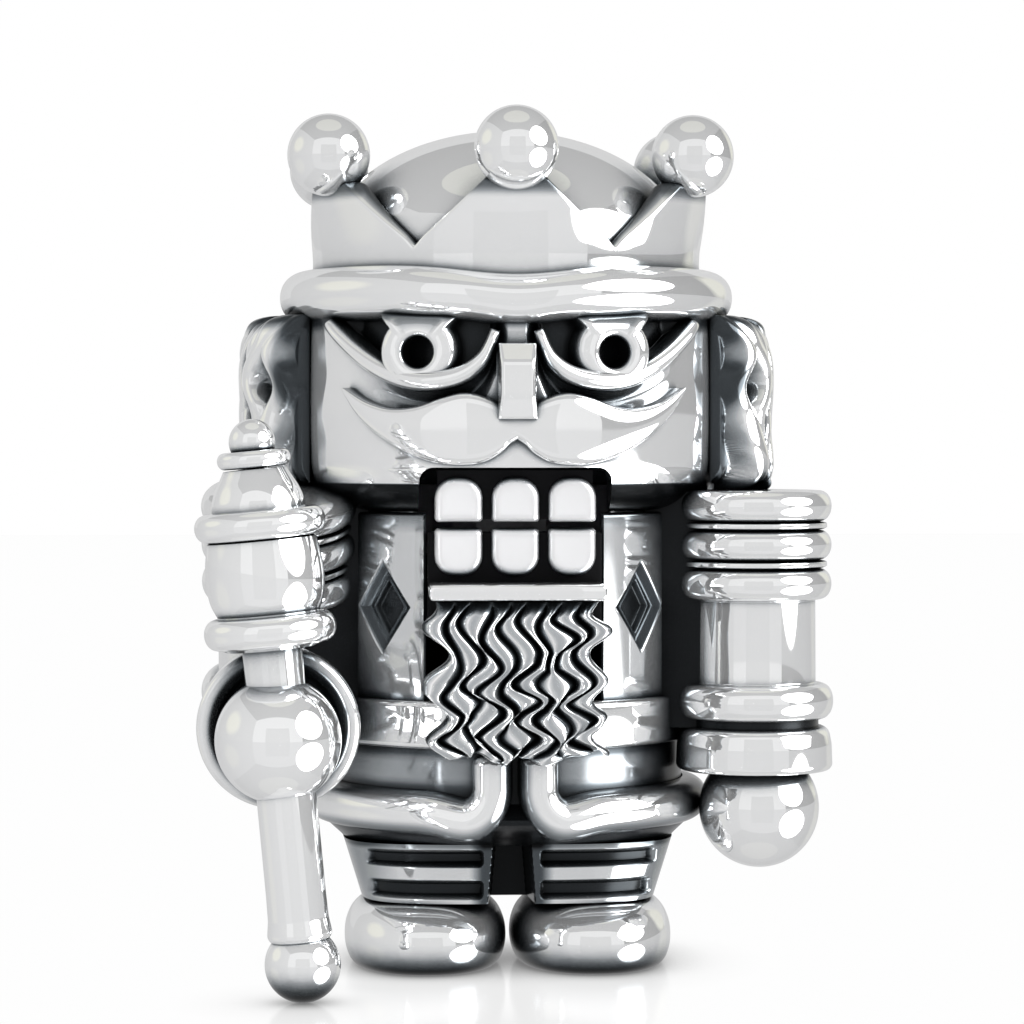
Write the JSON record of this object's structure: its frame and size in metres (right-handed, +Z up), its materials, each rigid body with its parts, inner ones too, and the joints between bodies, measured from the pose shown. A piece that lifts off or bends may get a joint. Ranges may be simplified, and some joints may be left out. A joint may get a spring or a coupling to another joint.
{
  "type": "nutcracker king figurine",
  "caption": "Polished silver nutcracker king with ball-topped crown, moustache, working jaw and lever, beard and lifting sceptre.",
  "frame": {"origin": "centre of the footprint of the bounding box, on the ground the soles stand on", "axes": "+Z up through the crown; the king faces -Y; +X is at the left hand of the king"},
  "size_m": [0.1298, 0.1268, 0.175],
  "materials": {
    "polished_silver": "mirror polished and silver plated, darkened in the recesses",
    "satin_tooth": "satin silver",
    "steel_fixing": "plain turned steel",
    "blackened": "blackened inside the mouth"
  },
  "bodies": {
    "figure": {"boot_left": "polished_silver", "leg_bolt_left": "steel_fixing", "waist_bolt_left": "steel_fixing", "boot_right": "polished_silver", "leg_bolt_right": "steel_fixing", "waist_bolt_right": "steel_fixing", "trousers": "polished_silver", "coat_skirt": "polished_silver", "coat_hem": "polished_silver", "belt": "polished_silver", "torso_shell": "polished_silver", "neck_collar": "steel_fixing", "head_shell": "polished_silver", "upper_jaw_block": "blackened", "nose": "polished_silver", "moustache": "polished_silver", "brow_roll": "polished_silver", "eye_left": "polished_silver", "lower_lid_left": "polished_silver", "hair_left": "polished_silver", "jaw_block_screw_left": "steel_fixing", "eye_right": "polished_silver", "lower_lid_right": "polished_silver", "hair_right": "polished_silver", "jaw_block_screw_right": "steel_fixing", "upper_tooth_left": "satin_tooth", "upper_tooth_centre": "satin_tooth", "upper_tooth_right": "satin_tooth", "jaw_pivot_pin": "steel_fixing", "crown_band": "polished_silver", "crown_cap": "polished_silver", "crown_bolt": "steel_fixing", "crown_ball_1": "polished_silver", "crown_ball_2": "polished_silver", "crown_ball_3": "polished_silver", "crown_ball_4": "polished_silver", "crown_ball_5": "polished_silver", "crown_ball_6": "polished_silver", "left_upper_arm": "polished_silver", "left_cuff": "polished_silver", "left_hand": "polished_silver", "left_shoulder_pin": "steel_fixing", "right_upper_arm": "polished_silver", "right_forearm": "polished_silver", "right_cuff": "polished_silver", "right_hand": "polished_silver", "right_shoulder_pin": "steel_fixing"},
    "jaw": {"jaw_lever": "polished_silver", "lower_tooth_left": "satin_tooth", "lower_tooth_centre": "satin_tooth", "lower_tooth_right": "satin_tooth", "beard": "polished_silver", "beard_screw": "steel_fixing"},
    "sceptre": {"sceptre_shaft": "polished_silver", "sceptre_end_ball": "polished_silver", "sceptre_head": "polished_silver", "sceptre_finial": "polished_silver"}
  },
  "joints": [
    {"name": "jaw_hinge", "type": "hinge", "parent": "figure", "child": "jaw", "pos_m": [-0.00145, 0.01939, 0.0545], "axis": [1, 0, 0], "range_deg": [0, 12]},
    {"name": "sceptre_slide", "type": "slide", "parent": "figure", "child": "sceptre", "axis": [-0.0948, 0, 0.9955], "range_m": [0, 0.024]}
  ]
}
